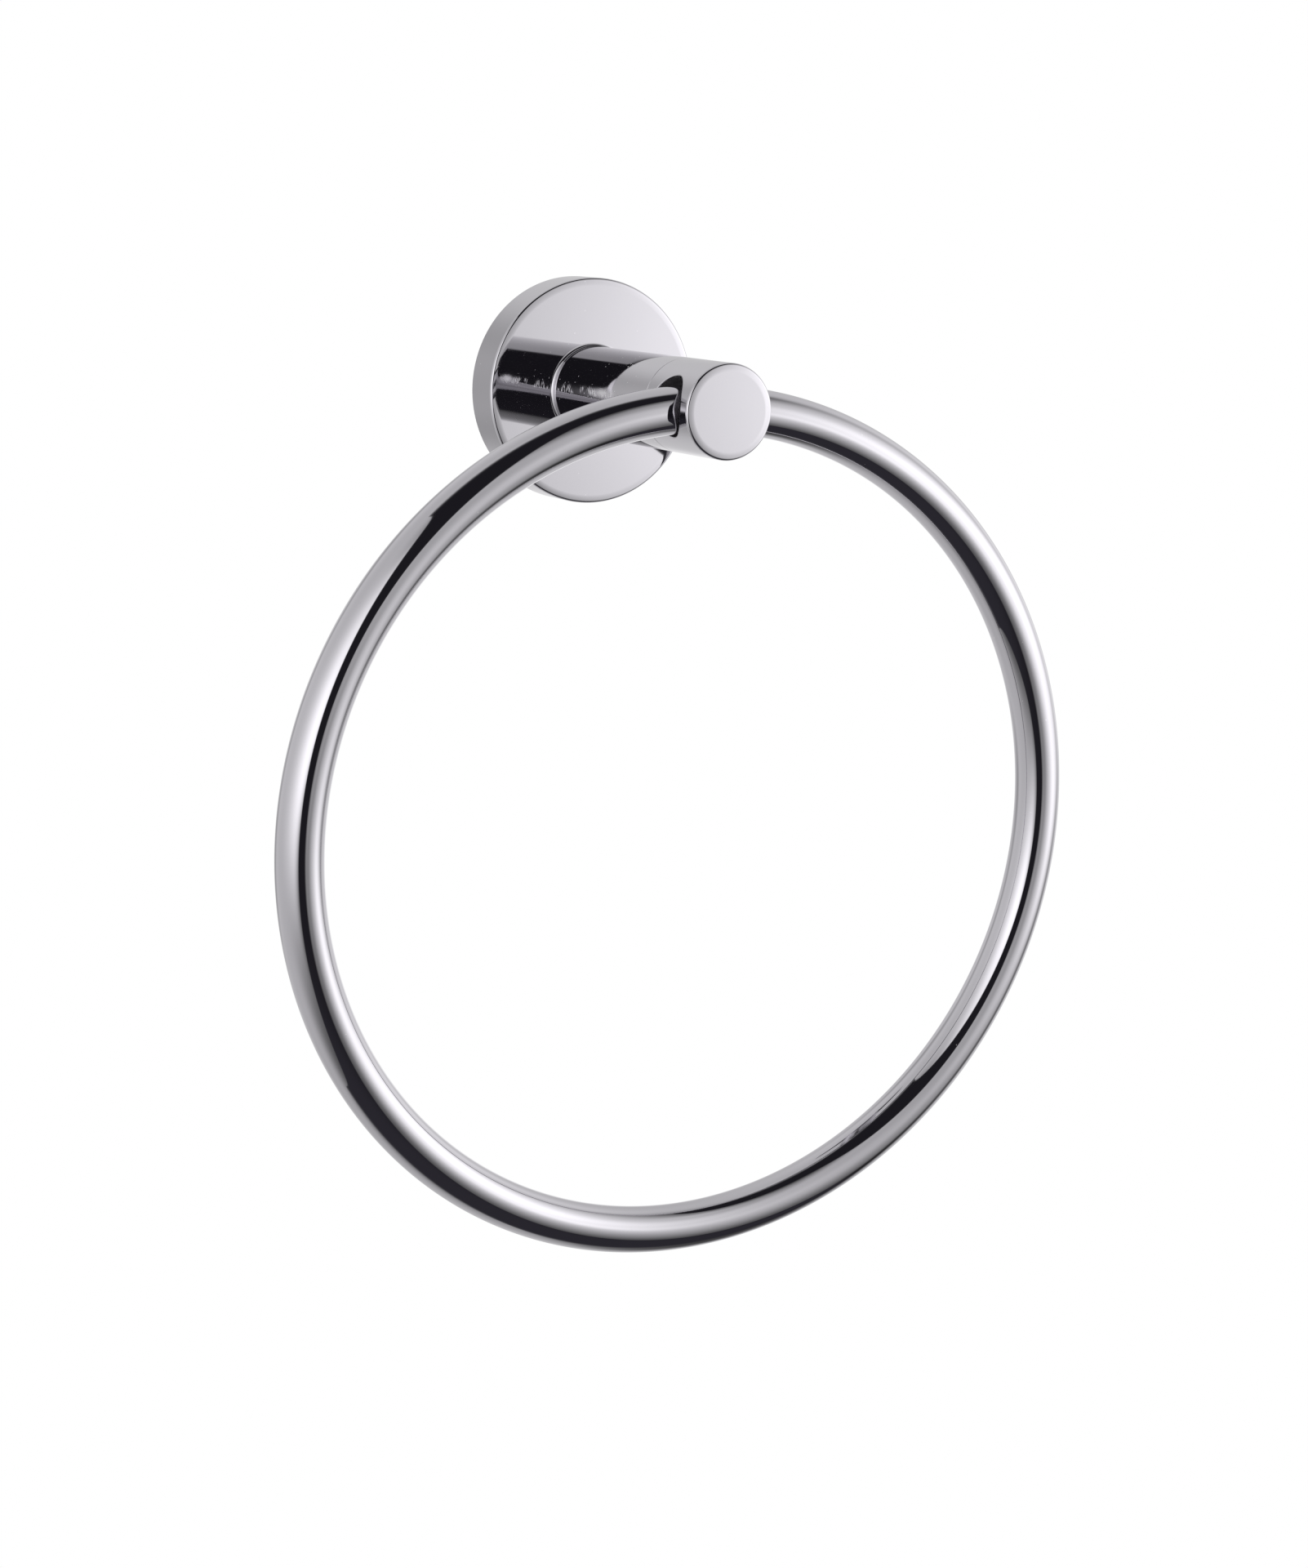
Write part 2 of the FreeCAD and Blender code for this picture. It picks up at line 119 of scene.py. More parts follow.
def line(start, end, steps=1):
    """Straight stroke of a turned profile, from (radius, y) to (radius, y)."""
    share = np.linspace(0, 1, steps + 1)[:, None]
    start, end = np.array(start, float), np.array(end, float)
    places = start + (end - start) * share
    along = (end - start) / np.hypot(*(end - start))
    return places, np.tile(along, (steps + 1, 1))


def arc(centre, radius, start, end, steps=8):
    """Round stroke of a turned profile: centre + radius (cos a, sin a) with a from start to end."""
    angle = np.linspace(start, end, steps + 1)
    places = np.stack([centre[0] + radius * np.cos(angle), centre[1] + radius * np.sin(angle)], -1)
    along = np.stack([-np.sin(angle), np.cos(angle)], -1) * np.sign(end - start)
    return places, along


def soft_edge(outside, face):
    """Polished front edge of a turned part of that outside radius whose face lies at that y. From
    the side inwards, a tight arc comes to within the shoulder angle of the face, and a wide arc
    carries it on to the flat. Returns the two strokes, the y where the side ends and the radius
    where the flat begins."""
    lean = HALF / 2 - SHOULDER_ANGLE
    wider = SHOULDER_RADIUS - EDGE
    tight = (outside - EDGE, face + SHOULDER_RADIUS - wider * math.cos(SHOULDER_ANGLE))
    wide = (tight[0] - wider * math.sin(SHOULDER_ANGLE), face + SHOULDER_RADIUS)
    strokes = [
        arc(tight, EDGE, 0, -lean, steps=14),
        arc(wide, SHOULDER_RADIUS, -lean, -QUARTER, steps=8),
    ]
    return strokes, tight[1], wide[0]


def turn(skin, strokes, angles):
    """Surface of revolution about the Y axis: each stroke's point (r, y) goes to
    (r sin a, y, r cos a). The strokes run with the metal on their left, so that the normal is the
    stroke's direction turned to the right."""
    sine, cosine = np.sin(angles), np.cos(angles)
    for places, along in strokes:
        r, y = places[:, :1], places[:, 1:]
        out, forth = along[:, 1:], -along[:, :1]
        points = np.stack([r * sine, y + 0 * sine, r * cosine], -1)
        normals = np.stack([out * sine, forth + 0 * sine, out * cosine], -1)
        skin.add(points, normals)


def frame_of_angles(span, rows, heights, levels):
    """The outline of a rectangle of angle and height, as two closed rows of places: rows steps
    along each long side and levels steps along each short side."""
    (a, b), (low, high) = span, heights
    across, up = np.linspace(a, b, rows + 1), np.linspace(low, high, levels + 1)
    angle = np.concatenate(
        [across[:-1], np.full(levels, b), across[:0:-1], np.full(levels + 1, a)]
    )
    height = np.concatenate([np.full(rows, low), up[:-1], np.full(rows, high), up[::-1]])
    return angle, height


def pierced_side(skin, radius, outline, hole, turns=None, facing=1.0, rows=20, rounding=0.0):
    """Part of a cylinder of that radius about the Y axis, with a round cross hole in it.
    The hole's middle looks along (sin m, cos m) in X and Z, moved sideways by the hole's shift, and
    a point of its rim at the turn s is sideways t = shift + R cos s and at the height
    y = middle + R sin s, which on the cylinder is the angle m + asin(t / radius). A second
    parameter runs straight, in angle and height, from the rim to the outline, with its rows closer
    together at the rim. With a rounding, a quadratic curve carries the side over the rim into the
    hole. Returns the turns and the rim."""
    crowding, curve_rows = 1.3, 6
    angle, height = outline
    middle, shift, y, size = hole
    if turns is None:
        centre = middle + math.asin(shift / radius)
        turns = np.arctan2(height - y, (angle - centre) * radius)
        turns[-1] = turns[0]

    def rim_places(reach):
        t = shift + reach * np.cos(turns)
        return middle + np.arcsin(t / radius), y + reach * np.sin(turns)

    def on_side(a, h):
        radial = np.stack([np.sin(a), 0 * a, np.cos(a)], -1)
        return radial * radius + np.stack([0 * h, h, 0 * h], -1), radial * facing

    start_angle, start_height = rim_places(size + rounding)
    share = (np.linspace(0, 1, rows + 1) ** crowding)[:, None]
    points, normals = on_side(
        start_angle + (angle - start_angle) * share, start_height + (height - start_height) * share
    )
    skin.add(points, normals)
    outward = np.array([math.sin(middle), 0, math.cos(middle)])
    sideways = np.array([math.cos(middle), 0, -math.sin(middle)])
    rim = on_side(*rim_places(size))[0]
    if not rounding:
        return turns, rim
    edge, edge_normal = points[0], normals[0]
    inner = rim - outward * rounding
    into = -np.cos(turns)[:, None] * sideways - np.sin(turns)[:, None] * np.array([0, 1, 0])
    w = np.linspace(0, 1, curve_rows + 1)[:, None, None]
    curve = edge * (1 - w) ** 2 + rim * 2 * w * (1 - w) + inner * w * w
    blend = edge_normal * (1 - w) + into * w
    skin.add(curve, blend / np.linalg.norm(blend, axis=-1, keepdims=True))
    return turns, inner


def lining(skin, start, end, turns, middle, rows=8):
    """Wall of a cross hole: straight lines from one rim to the other, with normals that point at
    the hole's axis."""
    sideways = np.array([math.cos(middle), 0, -math.sin(middle)])
    share = np.linspace(0, 1, rows + 1)[:, None, None]
    points = start + (end - start) * share
    normals = -np.cos(turns)[:, None] * sideways - np.sin(turns)[:, None] * np.array([0, 1, 0])
    skin.add(points, np.broadcast_to(normals, points.shape))


def make_flange(finish):
    """Round cup with a rounded front edge. Its rim has the grub screw's hole at the bottom."""
    skin = Skin()
    inner, hole = FLANGE_RADIUS - FLANGE_WALL, REGISTER_RADIUS + THREAD_GAP
    hollow = FLANGE_FACE - FLANGE_DEPTH
    edge, shoulder, flat = soft_edge(FLANGE_RADIUS, -FLANGE_DEPTH)
    steps, window, levels = 320, 24, 9
    angles = np.linspace(0, FULL, steps + 1)
    turn(
        skin,
        [
            line((FLANGE_RADIUS, 0), (inner, 0)),
            line((inner, hollow), (hole, hollow), steps=4),
            line((hole, hollow), (hole, -FLANGE_DEPTH)),
            line((hole, -FLANGE_DEPTH), (flat, -FLANGE_DEPTH), steps=6),
            *[(places[::-1], -along[::-1]) for places, along in edge[::-1]],
        ],
        angles,
    )
    # The side is plain but for a window of a few steps at the bottom, which the hole pierces.
    half = window * FULL / steps
    beside = np.linspace(HALF + half, FULL + HALF - half, steps - 2 * window + 1)
    turn(skin, [line((FLANGE_RADIUS, shoulder), (FLANGE_RADIUS, 0), levels)], beside)
    turn(skin, [line((inner, 0), (inner, hollow), levels)], beside)
    grub_hole = (HALF, 0.0, -GRUB_SETBACK, GRUB_HOLE_RADIUS)
    span = (HALF - half, HALF + half)
    outline = frame_of_angles(span, 2 * window, (shoulder, 0), levels)
    turns, outside = pierced_side(skin, FLANGE_RADIUS, outline, grub_hole, rows=8)
    outline = frame_of_angles(span, 2 * window, (hollow, 0), levels)
    _, inside = pierced_side(skin, inner, outline, grub_hole, turns, facing=-1.0, rows=8)
    lining(skin, outside, inside, turns, HALF, rows=2)
    return skin.piece("flange_shell", finish, "wall_post", "flange")


def make_post(finish):
    """Turned post: spigot, foot that flares onto the flange, long plain side, and a blind hole in
    each end."""
    skin = Skin()
    back_hole, front_hole = SCREW_RADIUS + THREAD_GAP, SPIGOT_RADIUS + THREAD_GAP
    foot, front = POST_RADIUS + FOOT_FLARE, JOINT_Y
    flare_start = -(FLANGE_DEPTH + FOOT_LAND)
    flare_end = flare_start - FOOT_FLARE
    turn(
        skin,
        [
            line((0, BACK_FLOOR - back_hole * DRILL_POINT), (back_hole, BACK_FLOOR)),
            line((back_hole, BACK_FLOOR), (back_hole, REGISTER_END)),
            line((back_hole, REGISTER_END), (REGISTER_RADIUS, REGISTER_END)),
            line((REGISTER_RADIUS, REGISTER_END), (REGISTER_RADIUS, -FLANGE_DEPTH)),
            line((REGISTER_RADIUS, -FLANGE_DEPTH), (foot, -FLANGE_DEPTH)),
            line((foot, -FLANGE_DEPTH), (foot, flare_start)),
            arc((foot, flare_end), FOOT_FLARE, QUARTER, HALF, steps=14),
            line((POST_RADIUS, flare_end), (POST_RADIUS, front + JOINT_EDGE), steps=20),
            arc((POST_RADIUS - JOINT_EDGE, front + JOINT_EDGE), JOINT_EDGE, 0, -QUARTER, steps=6),
            line((POST_RADIUS - JOINT_EDGE, front), (front_hole, front), steps=2),
            line((front_hole, front), (front_hole, FRONT_FLOOR)),
            line((front_hole, FRONT_FLOOR), (0, FRONT_FLOOR + front_hole * DRILL_POINT)),
        ],
        np.linspace(0, FULL, 257),
    )
    return skin.piece("post_shell", finish, "wall_post", "post")


def make_head(finish):
    """Turned head with a threaded spigot behind and the ring's bore across it, with rounded
    rims."""
    skin = Skin()
    steps, levels = 128, 74
    edge, side_front, flat = soft_edge(POST_RADIUS, FRONT_Y)
    side_back = JOINT_Y - JOINT_EDGE
    spigot_end, spigot_tip = JOINT_Y + SPIGOT_LENGTH, SPIGOT_RADIUS - SPIGOT_BEVEL
    turn(
        skin,
        [
            line((0, spigot_end), (spigot_tip, spigot_end)),
            line((spigot_tip, spigot_end), (SPIGOT_RADIUS, spigot_end - SPIGOT_BEVEL)),
            line((SPIGOT_RADIUS, spigot_end - SPIGOT_BEVEL), (SPIGOT_RADIUS, JOINT_Y)),
            line((SPIGOT_RADIUS, JOINT_Y), (POST_RADIUS - JOINT_EDGE, JOINT_Y), steps=2),
            arc((POST_RADIUS - JOINT_EDGE, side_back), JOINT_EDGE, QUARTER, 0, steps=6),
            *edge,
            line((flat, FRONT_Y), (0, FRONT_Y), steps=6),
        ],
        np.linspace(0, FULL, 2 * steps + 1),
    )
    rims = []
    for middle in (QUARTER, -QUARTER):
        span = (middle - QUARTER, middle + QUARTER)
        outline = frame_of_angles(span, steps, (side_front, side_back), levels)
        shift = -BORE_RISE if middle > 0 else BORE_RISE
        bore = (middle, shift, BORE_Y, BORE_RADIUS)
        rims.append(pierced_side(skin, POST_RADIUS, outline, bore, rounding=RIM_ROUNDING, rows=24))
    (turns, right), (_, left) = rims
    mirrored = right * np.array([-1, 1, 1])
    lining(skin, right, mirrored, turns, QUARTER, rows=30)
    return skin.piece("head_shell", finish, "wall_post", "head")


def make_ring(finish):
    """Round bar bent to a circle: the bar's middle runs on a circle in the XZ plane, and at each
    of its angles p the bar's surface is the middle + R (cos t radial - sin t Y). The bar's flat
    ends meet inside the head, each with the joining pin's hole in it."""
    skin = Skin()
    gap = BAR_END_GAP / 2 / RING_RADIUS
    steps_along, steps_round = 900, 96
    p = np.linspace(gap, FULL - gap, steps_along + 1)
    t = np.linspace(0, FULL, steps_round + 1)
    radial = np.stack([np.sin(p), 0 * p, np.cos(p)], -1)
    middle = np.array([0, BORE_Y, -RING_RADIUS]) + radial * RING_RADIUS
    normals = radial[:, None] * np.cos(t)[:, None] - np.array([0, 1, 0]) * np.sin(t)[:, None]
    skin.add(middle[:, None] + normals * BAR_RADIUS, normals)
    for end, along in ((0, -1.0), (-1, 1.0)):
        # Each end has a flat ring, the hole's wall and its floor.
        tangent = np.array([radial[end][2], 0, -radial[end][0]]) * along
        spoke = normals[end]
        edge = middle[end] + spoke * BAR_RADIUS
        mouth = middle[end] + spoke * PIN_HOLE_RADIUS
        floor = mouth - tangent * PIN_HOLE_DEPTH
        bottom = np.broadcast_to(middle[end] - tangent * PIN_HOLE_DEPTH, floor.shape)
        out = np.broadcast_to(tangent, (2,) + floor.shape)
        skin.add(np.stack([edge, mouth]), out)
        skin.add(np.stack([mouth, floor]), np.stack([-spoke, -spoke]))
        skin.add(np.stack([floor, bottom]), out)
    return skin.piece("ring_bar", finish, "ring", "ring")


class Shade:
    """One value in a material. Sums, products and powers of values add Math nodes."""

    def __init__(self, finish, socket):
        self.finish, self.socket = finish, socket

    def maths(self, operation, *values, turned=False):
        values = (*values, self) if turned else (self, *values)
        return self.finish.node("ShaderNodeMath", {"operation": operation}, dict(enumerate(values)))

    def __add__(self, other): return self.maths("ADD", other)
    def __sub__(self, other): return self.maths("SUBTRACT", other)
    def __mul__(self, other): return self.maths("MULTIPLY", other)
    def __truediv__(self, other): return self.maths("DIVIDE", other)
    def __pow__(self, other): return self.maths("POWER", other)
    def __neg__(self): return self.maths("MULTIPLY", -1.0)
    def __rsub__(self, other): return self.maths("SUBTRACT", other, turned=True)
    def __rtruediv__(self, other): return self.maths("DIVIDE", other, turned=True)
    __radd__, __rmul__ = __add__, __mul__

    def exp(self): return self.maths("EXPONENT")
    def at_least(self, other): return self.maths("MAXIMUM", other)
    def at_most(self, other): return self.maths("MINIMUM", other)

    def rise(self, middle, width):
        """0 below the middle and 1 above it, with a soft step of about that width."""
        steepest = 30.0
        return 1.0 / (1.0 + ((middle - self) / width).at_most(steepest).exp())

    def bell(self, middle, width):
        """1 at the middle, fading on both sides: exp(-((value - middle) / width) ** 2)."""
        off = (self - middle) / width
        return (-(off * off)).exp()


class Finish:
    """A material and its nodes."""

    def __init__(self, name):
        self.material = bpy.data.materials.new(name)
        self.material.use_nodes = True
        self.tree = self.material.node_tree
        self.tree.nodes.clear()
        self.output = self.tree.nodes.new("ShaderNodeOutputMaterial")

    def node(self, kind, settings=None, sockets=None, output=0):
        """Adds a node of that kind. Its settings are set first, then each socket is linked to a
        Shade or set to a plain value. Returns the output asked for, or a list of several."""
        node = self.tree.nodes.new(kind)
        for name, value in (settings or {}).items():
            setattr(node, name, value)
        for name, value in (sockets or {}).items():
            if isinstance(value, Shade):
                self.tree.links.new(value.socket, node.inputs[name])
            else:
                node.inputs[name].default_value = value
        if isinstance(output, tuple):
            return [Shade(self, node.outputs[i]) for i in output]
        return Shade(self, node.outputs[output])

    def done(self, surface):
        """Links the surface to the output and gives the finished material."""
        self.tree.links.new(surface.socket, self.output.inputs["Surface"])
        return self.material


# Chrome's colour, and the pale colour of dust and wear, which also paints the highlight on the
# post.
CHROME_COLOUR, PALE_WEAR_AND_HIGHLIGHT = (0.605, 0.594, 0.622), (0.97, 0.96, 0.98, 1.0)
# Marks on the post. They lie between two angles round it, in degrees, and two places along Y, in
# metres, each with the softness of its edge. The spot where they crowd is duller and also carries a
# painted highlight; its middle and half width are given in both.
MARKS_ROUND = ((-88.5, 0.5), (-80.0, 1.5))
MARKS_ALONG = ((-0.037, 0.0012), (-0.0125, 0.0012))
HIGHLIGHT_SPOT_ROUND, HIGHLIGHT_SPOT_ALONG = (-83.0, 5.0), (-0.0342, 0.0034)


def noise(finish, place, detail, scale=1.0):
    """Soft noise about 0.5, with cells of one part in the scale."""
    sockets = {"Vector": place, "Scale": scale, "Detail": detail}
    return finish.node("ShaderNodeTexNoise", {}, sockets)


def between(value, low, high):
    """1 between two edges and 0 beyond them. Each edge is its place and its softness."""
    return value.rise(*low) * (1.0 - value.rise(*high))


def metal(name, colour, roughness, wander, grain, grain_depth, wear_and_highlight=None):
    """Metal whose roughness and colour wander a little over the surface, with a fine grain in its
    normal. grain is the grain's scale along X, Y and Z, per metre, and its depth is in metres.
    The last argument takes the finish and the place on the piece, in metres, and gives how much
    rougher and how much paler the metal is there: paler from dust and wear, and on the post also
    from a painted highlight."""
    clouds_per_metre, grain_share, colour_shift = 55.0, 0.6, 0.015
    finish = Finish(name)
    place = finish.node("ShaderNodeTexCoord", output="Object")
    cloud = noise(finish, place, 3.0, clouds_per_metre)
    fine = finish.node("ShaderNodeVectorMath", {"operation": "MULTIPLY"}, {0: place, 1: grain})
    lines = noise(finish, fine, 2.0)
    rough = roughness + (cloud - 0.5) * wander + (lines - 0.5) * (wander * grain_share)
    darker, lighter = (
        (*[c * share for c in colour], 1.0) for share in (1 - colour_shift, 1 + colour_shift)
    )
    tints = {0: cloud, 6: darker, 7: lighter}
    tint = finish.node("ShaderNodeMix", {"data_type": "RGBA"}, tints, output=2)
    if wear_and_highlight:
        rougher, paler = wear_and_highlight(finish, place)
        rough = rough + rougher
        # Paler for dust and wear, and on the post also for a painted highlight.
        tints = {0: paler, 6: tint, 7: PALE_WEAR_AND_HIGHLIGHT}
        tint = finish.node("ShaderNodeMix", {"data_type": "RGBA"}, tints, output=2)
    relief = {"Strength": 1.0, "Distance": grain_depth, "Height": lines}
    bump = finish.node("ShaderNodeBump", {}, relief)
    surface = {"Base Color": tint, "Metallic": 1.0, "Roughness": rough, "Normal": bump}
    return finish.done(finish.node("ShaderNodeBsdfPrincipled", {}, surface))


def specks(finish, place, cell, size):
    """Fine dust: 1 in the middle of each speck. Specks are the points of a random lattice with
    cells of that size that lie within the speck's own size of the surface, in millimetres."""
    lattice = {"Vector": place, "Scale": 1000.0 / cell}
    far = finish.node("ShaderNodeTexVoronoi", {"feature": "F1"}, lattice)
    return (1.0 - far * (cell / size)).at_least(0.0)


def ring_wear(finish, place):
    """Dust alone."""
    dust = specks(finish, place, cell=4.0, size=0.16)
    return dust * 0.5, dust


def flange_wear(finish, place):
    """Dust alone, a little finer than the ring's."""
    dust = specks(finish, place, cell=2.6, size=0.14)
    return dust * 0.4, dust


def post_wear_and_highlight(finish, place):
    """Dust, and fine marks that run round the post on its left flank: narrow along the post, long
    round it, in a few patches from the foot to a little past the middle. Where they crowd
    together, at their far end, the whole patch is dull, and it is painted pale as a painted
    highlight:
    a soft round spot of Y and of the angle round the post."""
    x, y, z = finish.node("ShaderNodeSeparateXYZ", {}, {0: place}, output=(0, 1, 2))
    around = x.maths("ARCTAN2", z) * DEGREES

    def streaks(per_metre, per_degree, layer, detail):
        """Noise that is fine along the post and long round it."""
        stretched = {0: y * per_metre, 1: around * per_degree, 2: layer}
        return noise(finish, finish.node("ShaderNodeCombineXYZ", {}, stretched), detail)

    strokes = streaks(per_metre=3300.0, per_degree=0.09, layer=3.7, detail=1.0).rise(0.56, 0.02)
    patches = streaks(per_metre=260.0, per_degree=0.05, layer=9.1, detail=0.0).rise(0.47, 0.03)
    marks = strokes * patches * between(around, *MARKS_ROUND) * between(y, *MARKS_ALONG)
    # The worn spot: rougher, and painted pale as a painted highlight.
    worn_spot_and_highlight = y.bell(*HIGHLIGHT_SPOT_ALONG) * around.bell(*HIGHLIGHT_SPOT_ROUND)
    dust = specks(finish, place, cell=1.7, size=0.2)
    # Rougher for dust, marks and the worn spot; paler for dust and marks, and for the spot's
    # painted highlight.
    return dust * 0.6 + marks * 0.5 + worn_spot_and_highlight * 0.36, (dust + marks + worn_spot_and_highlight).at_most(1.0)


def head_wear(finish, place):
    """The bore's wall is duller than the outside, but no paler: the plating's polish doesn't reach
    in there."""
    y, z = finish.node("ShaderNodeSeparateXYZ", {}, {0: place}, output=(1, 2))
    off_y, off_z = y - BORE_Y / 1000, z - BORE_RISE / 1000
    from_bore = (off_y * off_y + off_z * off_z) ** 0.5
    wall, softness = (BORE_RADIUS + 0.08) / 1000, 0.02 / 1000
    return (1.0 - from_bore.rise(wall, softness)) * 0.4, 0.0


def chrome(name, wear_and_highlight):
    """Polished plating, the same on every piece but for its wear and, on the post, a painted
    highlight.
    """
    return metal(
        name, CHROME_COLOUR, roughness=0.035, wander=0.012,
        grain=(900.0, 900.0, 900.0), grain_depth=2e-8, wear_and_highlight=wear_and_highlight,
    )


zinc = metal(
    "cast_zinc", (0.6, 0.6, 0.6), roughness=0.42, wander=0.16,
    grain=(1500.0, 1500.0, 1500.0), grain_depth=4e-6,
)
screw_steel = metal(
    "bright_screw_steel", (0.55, 0.55, 0.54), roughness=0.24, wander=0.1,
    grain=(400.0, 9000.0, 400.0), grain_depth=2e-6,
)
pin_steel = metal(
    "ground_pin_steel", (0.6, 0.6, 0.6), roughness=0.2, wander=0.08,
    grain=(9000.0, 400.0, 400.0), grain_depth=1e-6,
)

make_flange(chrome("flange_chrome", flange_wear))
make_post(chrome("post_chrome", post_wear_and_highlight))
make_head(chrome("head_chrome", head_wear))
make_ring(chrome("ring_chrome", ring_wear))
CARRIED_OVER = {
    "wall_bracket": zinc,
    "grub_screw": screw_steel,
    "plain_washer": screw_steel,
    "lock_washer": screw_steel,
    "post_screw": screw_steel,
    "ring_joining_pin": pin_steel,
}
for name, finish in CARRIED_OVER.items():
    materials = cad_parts[name].data.materials
    materials.clear()
    materials.append(finish)


# Studio: a round tent of white cloth with a dark gap in front, between its left and right sheets,
# and a dark ceiling and a dark strip of floor in front of the wall. Places in the tent are seen
# from its middle, in degrees: azimuth 0 is in front of the wall and 90 to the right.
TENT_CENTRE = Vector((0, -0.0635, -0.089))
TENT_RADIUS = 0.835
# Sheets: half width, top, bottom, and the powers that round the upper and lower corners
LEFT_SHEET = (59.8, 58.0, 53.8, 2.76, 2.56)
RIGHT_SHEET = (93.0, 57.2, 45.8, 10.9, 3.28)
# Leans are given for this climb in elevation. The right sheet's inner edge leans to the right, and
# the cloth beside it less and less across the next stretch of azimuth.
CLIMB = 50
RIGHT_EDGE, RIGHT_LEAN, LEAN_STRETCH = -3.0, 6.5, 60
# Where the back sheet begins along Y and how softly, as shares of the radius, and how soft the
# other sheets' edges are, in degrees
BACK_SHEET, CLOTH_EDGE = (-0.030, 0.033), 0.50
CLOTH_COLOUR, SHADE_COLOUR = (1.006, 1.0, 1.012), (1.06, 1.0, 1.26)
BASE_GLOW, CEILING_SHADE, FLOOR_SHADE = -0.951, 0.0158, 0.0335
# How far below level the dark of the floor takes over from the ceiling's, and how softly
FLOOR_EDGE = (30.0, 6.0)
# The seam between the right sheet and the back one is a little darker: its azimuth, how it leans
# and bends by elevation, its width, how much darker it is all along, and then the elevation, half
# height and depth of two darker stretches.
SEAM_AZIMUTH, SEAM_LEAN, SEAM_BEND, SEAM_WIDTH, SEAM_DEPTH = 94.9, 7.9, -17.1, 11.1, 0.33
SEAM_HIGH, SEAM_LOW = (65.8, 8.0, 1.69), (-32.0, 18.0, 1.06)
# Each soft lobe of the cloth's light: azimuth, elevation, half width, half height, strength
LOBES = [
    (58.7, -13.0, 22.5, 11.1, 0.79),
    (11.3, 2.2, 83.1, 36.7, 2.83),
    (-19.0, -52.0, 77.0, 29.7, -3.77),
    (58.1, -35.8, 38.9, 31.3, -3.85),
    (-10.3, -18.2, 18.9, 14.7, -5.00),
    (6.6, 8.6, 37.0, 29.1, -2.45),
    (144.5, -11.4, 15.3, 11.7, 0.53),
    (56.9, -36.1, 39.8, 21.2, 3.70),
    (16.6, 60.1, 53.6, 17.0, -5.00),
    (33.4, 2.9, 8.0, 8.0, 0.29),
    (149.0, 13.6, 95.0, 75.0, 1.04),
    (142.4, 7.4, 38.9, 45.1, -0.75),
    (80.5, -49.4, 11.4, 9.9, -2.05),
    (-117.2, -46.8, 95.0, 22.8, 3.87),
    (30.8, 52.6, 34.4, 10.9, 2.50),
    (-157.4, 5.1, 8.0, 17.6, -0.51),
    (-139.5, -46.1, 72.7, 21.6, -3.24),
    (-14.0, 107.2, 95.0, 65.5, 1.34),
    (78.6, 23.9, 27.8, 15.2, -0.30),
    (0.7, -16.6, 9.6, 12.9, 2.27),
    (193.5, -13.6, 13.2, 8.0, -0.48),
    (-170.4, 23.2, 14.9, 8.0, -0.55),
    (110.0, -62.0, 27.0, 13.0, -1.60),
]


